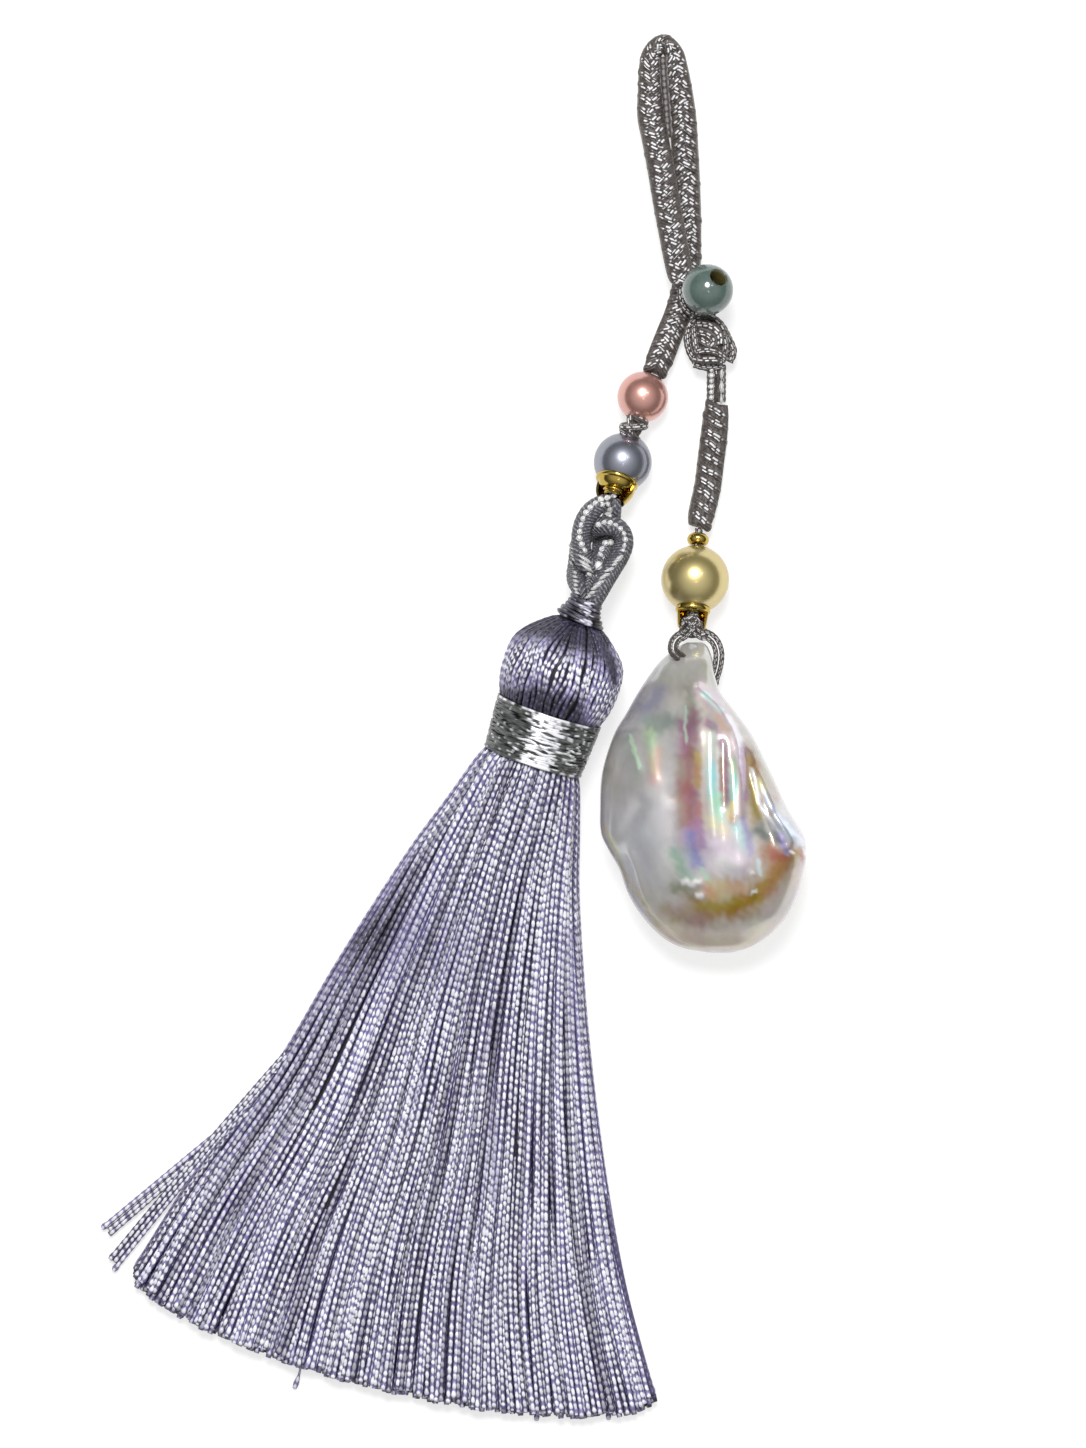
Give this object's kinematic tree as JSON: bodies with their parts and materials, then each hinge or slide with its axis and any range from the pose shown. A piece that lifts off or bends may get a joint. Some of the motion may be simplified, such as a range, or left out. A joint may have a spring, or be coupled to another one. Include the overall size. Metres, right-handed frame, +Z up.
{
  "type": "pearl tassel charm",
  "caption": "Hanging loop of snake knot braid buttoned over a jade bead, with a drop of round pearls and a silk tassel and a drop with a baroque pearl.",
  "frame": {"origin": "on the table that the charm lies on, under the middle of its outline", "axes": "+Y from the tassel's fringe towards the top of the hanging loop, +Z up from the table, +X towards the baroque pearl"},
  "size_m": [0.0706, 0.1388, 0.0136],
  "materials": {
    "metallic_braid": "dark grey cord with silver thread",
    "silk_cord": "twisted grey silk cord with silver thread",
    "silk": "shiny lilac grey two-ply thread",
    "metallic_thread": "wound silver grey metallic thread",
    "gold": "polished gold",
    "jade": "polished grey-green jade, slightly translucent",
    "pink_pearl": "pink pearl lustre",
    "grey_pearl": "dark grey pearl lustre",
    "golden_pearl": "golden pearl lustre",
    "nacre": "iridescent white nacre"
  },
  "bodies": {
    "root": {"hanging_braid": "metallic_braid", "eye_loop": "metallic_braid", "jade_bead": "jade", "bead_stem": "metallic_braid", "button_knot": "metallic_braid", "twin_cord": "metallic_braid", "drop_braid": "metallic_braid", "gold_spacer": "gold", "golden_pearl": "golden_pearl", "gold_cup": "gold", "drop_thread": "metallic_braid", "cup_knot": "metallic_braid", "pearl_loop": "metallic_braid", "baroque_pearl": "nacre", "pink_pearl": "pink_pearl", "mid_knot": "metallic_braid", "grey_pearl": "grey_pearl", "gold_cap": "gold", "tassel_thread": "metallic_braid", "cap_loop": "silk_cord", "tassel_loop": "silk_cord", "neck_binding": "silk_cord", "tassel_head": "silk", "waist_band": "metallic_thread", "tassel_skirt": "silk"}
  },
  "joints": []
}
